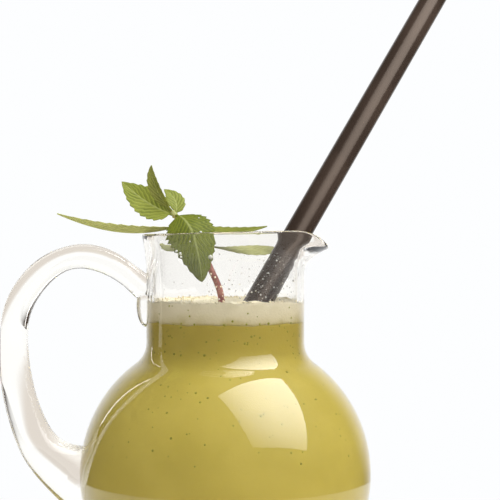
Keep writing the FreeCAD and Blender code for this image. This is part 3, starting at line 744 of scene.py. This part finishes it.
def glass(finish):
    """The model's glass with its corners merged, shaded smoothly between its creases."""
    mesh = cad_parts["glass_jug"].data.copy()
    shape = bmesh.new()
    shape.from_mesh(mesh)
    bmesh.ops.remove_doubles(shape, verts=shape.verts, dist=1e-6)
    shape.to_mesh(mesh)
    shape.free()
    mesh.polygons.foreach_set("use_smooth", np.full(len(mesh.polygons), True))
    mesh.set_sharp_from_angle(angle=CREASE)
    mesh.materials.clear()
    mesh.materials.append(finish)
    return placed("glass_body", mesh)


# ---------------------------------------------------------------- stage, light and camera

# The white that is seen plainly, the brighter one that is seen through glass, the room that glass
# mirrors, what it bends in from the sides, the light on all else, and the table seen through it.
WHITE, BRIGHT, ROOM = (0.982, 0.991, 1.0, 1), (1.09, 1.09, 1.07, 1), (0.13, 0.10, 0.075, 1)
DARK_SIDES, EVEN_LIGHT = (0.06, 0.04, 0.028, 1), (0.93, 0.92, 0.88, 1)
TABLE_IN_GLASS = (0.80, 0.74, 0.67, 1)
FLOOR_REACH, FLOOR_DEPTH = 3000, 0.05


def white_world():
    """A white world behind the jug and a dark room in front of it and beside it, as glass shows
    them, with an even light for the rest."""
    world = bpy.data.worlds.new("studio")
    bpy.context.scene.world = world
    world.use_nodes = True
    tree = world.node_tree
    tree.nodes.clear()
    path = add(tree, "ShaderNodeLightPath").outputs
    way = place(tree, "Generated")
    backwards, steep = axis_of(tree, way, "Y"), maths(tree, "ABSOLUTE", axis_of(tree, way, "Z"))
    behind = maths(tree, "ADD", backwards, times(tree, steep, 1.2))
    clear = blend(tree, ramp(tree, behind, 0.74, 0.995), DARK_SIDES, BRIGHT)
    mirrored = blend(tree, ramp(tree, backwards, 0.55, 0.95), ROOM, WHITE)
    room = blend(tree, path["Is Transmission Ray"], mirrored, clear)
    scattered = maths(tree, "MINIMUM", path["Diffuse Depth"], 1.0)
    seen = blend(tree, scattered, room, EVEN_LIGHT)
    seen = blend(tree, path["Is Camera Ray"], seen, WHITE)
    light = add(tree, "ShaderNodeBackground", {"Color": seen, "Strength": 1.0})
    tree.links.new(light.outputs[0], add(tree, "ShaderNodeOutputWorld").inputs["Surface"])


def floor():
    """A pale floor that keeps the shadow near the jug and is plain white further out.

    Glass mirrors it as a small white table in a dark room, and shows it beige close by.
    """
    made, tree, shader = finish_of("floor", Roughness=0.9, Base_Color=(0.8, 0.78, 0.75, 1))
    path = add(tree, "ShaderNodeLightPath").outputs
    where = place(tree)
    reach = add(tree, "ShaderNodeVectorMath", {0: where}, operation="LENGTH").outputs["Value"]
    heading = maths(tree, "DIVIDE", axis_of(tree, where, "Y"), maths(tree, "ADD", reach, 0.001))
    table, back = ramp(tree, reach, 0.225, 0.21), ramp(tree, heading, 0.55, 0.95)
    mirrored = blend(tree, maths(tree, "MAXIMUM", table, back), ROOM, WHITE)
    through = blend(tree, ramp(tree, reach, 0.3, 0.55), TABLE_IN_GLASS, BRIGHT)
    tint = blend(tree, path["Is Glossy Ray"], WHITE, mirrored)
    tint = blend(tree, path["Is Transmission Ray"], tint, through)
    plain = maths(tree, "SUBTRACT", 1.0, path["Is Diffuse Ray"])
    plain = times(tree, plain, ramp(tree, reach, 0.075, 0.15))
    glow = add(tree, "ShaderNodeEmission", {"Color": tint, "Strength": 1.0})
    mix = add(tree, "ShaderNodeMixShader", {0: plain, 1: shader.outputs[0], 2: glow.outputs[0]})
    tree.links.new(mix.outputs[0], tree.nodes["Material Output"].inputs["Surface"])
    line = np.linspace(-FLOOR_REACH, FLOOR_REACH, 25)
    x, y = np.meshgrid(line, line)
    surface("floor", np.stack([x, y, 0 * x - FLOOR_DEPTH], -1), made)


def lamp(name, centre, towards, across, size, power, fade=(-1.0, 0.0)):
    """A soft area lamp, in metres, with its width along across.

    It is dimmer at the low ends of its width and height, by a smooth step between fade's shares.
    """
    data = bpy.data.lights.new(name, "AREA")
    data.shape, data.energy = "RECTANGLE", power
    data.size, data.size_y = size
    data.use_nodes = True
    tree = data.node_tree
    lie = add(tree, "ShaderNodeNewGeometry").outputs["Parametric"]
    level = times(tree, *(ramp(tree, axis_of(tree, lie, axis), *fade) for axis in "XY"))
    tree.links.new(level, tree.nodes["Emission"].inputs["Strength"])
    back = unit(np.array(centre) - towards)
    side = unit(across - back * (back @ across))
    stand = Matrix(np.column_stack([side, np.cross(back, side), back])).to_4x4()
    stand.translation = centre
    placed(name, data).matrix_world = stand


def camera():
    """Level with the rim, straight from the front."""
    data = bpy.data.cameras.new("camera")
    data.lens, data.sensor_width = 100.8, 36.0
    data.shift_x, data.shift_y = 0.0494, -0.036
    piece = placed("camera", data)
    piece.location = (0, -0.46667, 0.119)
    piece.rotation_euler = (radians(90), 0, 0)
    bpy.context.scene.camera = piece


# ---------------------------------------------------------------- all of it


def dress(piece, slot, *nodes):
    """Lets a piece ride on the model and stand for its nodes; its slot is not used."""
    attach(piece, "root")
    if nodes:
        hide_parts(*nodes)


bpy.context.scene.view_settings.view_transform = "Standard"
bpy.context.scene.cycles.max_bounces = 32
bpy.context.scene.cycles.glossy_bounces = 20
bpy.context.scene.cycles.transmission_bounces = 24
camera()
white_world()
floor()
lamp("key", (0.434, -0.339, 0.744), towards=(-0.02, -0.16, 0.05), across=(0.70, 0.68, -0.22),
     size=(0.83, 0.95), power=16.2, fade=(-0.5, 0.75))
lamp("strip", (-0.65, 0.55, 0.40), towards=(0, 0, 0.07), across=(1, 1, 0),
     size=(0.03, 0.7), power=0.22)

dress(glass(clear_glass()), "clear_glass", "glass_jug")
dress(drink(drink_finish()), "cloudy_lemonade", "lemonade")
froth = foam_finish()
dress(foam(froth), "white_foam", "foam")
dress(straw(straw_finish()), "dark_straw", "straw")
dress(stem(stem_finish()), "mint_green", "mint_sprig")
for name, (dark, light) in LEAF_COLOURS.items():
    green = leaf_finish(name, LEAVES[name][TEETH], colour(*dark), colour(*light))
    dress(leaf(name, green), "mint_green")

dress(flecks(fleck_finish()), "mint_green")
dress(foam_bubbles(froth), "white_foam")
water = water_finish()
dress(wall_drops(water), "clear_glass")
dress(leaf_drops(water), "clear_glass")
dress(stem_bubbles(froth), "white_foam")
